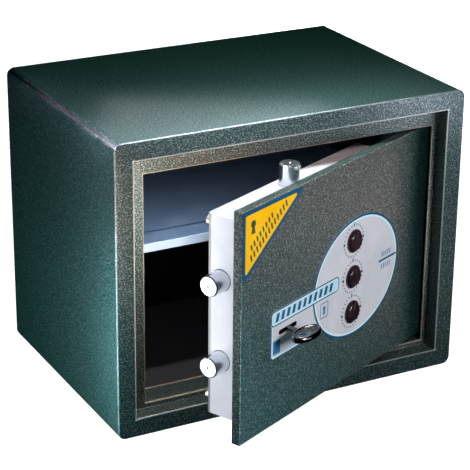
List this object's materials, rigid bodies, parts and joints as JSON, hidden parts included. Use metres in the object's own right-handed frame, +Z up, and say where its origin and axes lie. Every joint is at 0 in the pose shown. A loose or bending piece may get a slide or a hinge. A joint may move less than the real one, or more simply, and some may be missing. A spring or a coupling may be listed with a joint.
{
  "type": "combination safe",
  "caption": "Small folded-steel safe with a swinging door, round bolts thrown by a key, combination dials, a shelf, a felt floor and anchor holes.",
  "frame": {"origin": "centre of the cabinet's underside", "axes": "+Z up, the door's side of the cabinet faces -Y, +Y points at the wall behind, +X towards the hinge side"},
  "size_m": [0.38, 0.369, 0.3],
  "materials": {
    "cabinet_paint": "dark green hammered enamel",
    "frame_paint": "dark green enamel",
    "door_paint": "dark grey-green hammered enamel",
    "shelf_steel": "satin light blue-grey",
    "floor_felt": "matte felt",
    "label_film": "satin print film",
    "sticker_film": "satin print film",
    "case_zinc": "satin pale grey",
    "lock_zinc": "die-cast zinc, dull",
    "hinge_steel": "zinc plated",
    "nut_steel": "plated",
    "bolt_chrome": "polished",
    "key_chrome": "polished",
    "lock_brass": "machined",
    "knob_black": "satin black"
  },
  "bodies": {
    "cabinet": {"body_shell": "cabinet_paint", "back_panel": "cabinet_paint", "door_frame": "frame_paint", "hinge_bracket_lower": "frame_paint", "hinge_bracket_upper": "frame_paint", "hinge_pins": "hinge_steel", "hinge_washer": "lock_brass", "shelf": "shelf_steel", "shelf_supports": "shelf_steel", "shelf_rivets": "hinge_steel", "floor_mat": "floor_felt"},
    "door": {"door_plate": "door_paint", "face_label": "label_film", "corner_sticker": "sticker_film", "lock_case": "case_zinc", "rear_cover": "case_zinc", "cover_studs": "hinge_steel", "cover_nuts": "nut_steel", "hinge_block_lower": "door_paint", "hinge_block_upper": "door_paint", "lock_housing": "lock_zinc", "housing_screws": "hinge_steel", "spindle_bushes": "lock_brass", "side_bolt_guides": "lock_zinc", "top_bolt_guide": "lock_zinc", "rod_guide": "lock_zinc", "bar_guide": "lock_zinc"},
    "key_rotor": {"key_rotor": "lock_brass"},
    "key": {"key": "key_chrome"},
    "side_bolts": {"bolt_bar": "hinge_steel", "side_bolt_upper": "bolt_chrome", "side_bolt_lower": "bolt_chrome"},
    "top_bolt": {"top_bolt": "bolt_chrome", "top_rod": "hinge_steel"},
    "dial_upper": {"knob_upper": "knob_black", "spindle_upper": "hinge_steel", "wheel_upper": "lock_brass"},
    "dial_middle": {"knob_middle": "knob_black", "spindle_middle": "hinge_steel", "wheel_middle": "lock_brass"},
    "dial_lower": {"knob_lower": "knob_black", "spindle_lower": "hinge_steel", "wheel_lower": "lock_brass"}
  },
  "joints": [
    {"name": "door_swing", "type": "hinge", "parent": "cabinet", "child": "door", "pos_m": [0.14, -0.0915, 0.142], "axis": [0, 0, 1], "range_deg": [-25.2, 64.8]},
    {"name": "key_turn", "type": "hinge", "parent": "door", "child": "key_rotor", "pos_m": [-0.04798, -0.20427, 0.1202], "axis": [0.4258, -0.9048, 0], "range_deg": [-180, 0]},
    {"name": "key_pull", "type": "slide", "parent": "key_rotor", "child": "key", "axis": [0.4258, -0.9048, 0], "range_m": [0, 0.045]},
    {"name": "side_bolts_slide", "type": "slide", "parent": "door", "child": "side_bolts", "axis": [-0.9048, -0.4258, 0], "range_m": [-0.01884, 0]},
    {"name": "top_bolt_slide", "type": "slide", "parent": "door", "child": "top_bolt", "axis": [0, 0, 1], "range_m": [-0.0189, 0]},
    {"name": "dial_upper_turn", "type": "hinge", "parent": "door", "child": "dial_upper", "pos_m": [0.05011, -0.15811, 0.1733], "axis": [0.4258, -0.9048, 0], "continuous": true},
    {"name": "dial_middle_turn", "type": "hinge", "parent": "door", "child": "dial_middle", "pos_m": [0.05011, -0.15811, 0.1357], "axis": [0.4258, -0.9048, 0], "continuous": true},
    {"name": "dial_lower_turn", "type": "hinge", "parent": "door", "child": "dial_lower", "pos_m": [0.05011, -0.15811, 0.0981], "axis": [0.4258, -0.9048, 0], "continuous": true}
  ],
  "couplings": [
    {"joint": "key_turn", "follows": "side_bolts_slide", "rad_per_m": 166.67},
    {"joint": "top_bolt_slide", "follows": "side_bolts_slide", "ratio": 1}
  ]
}
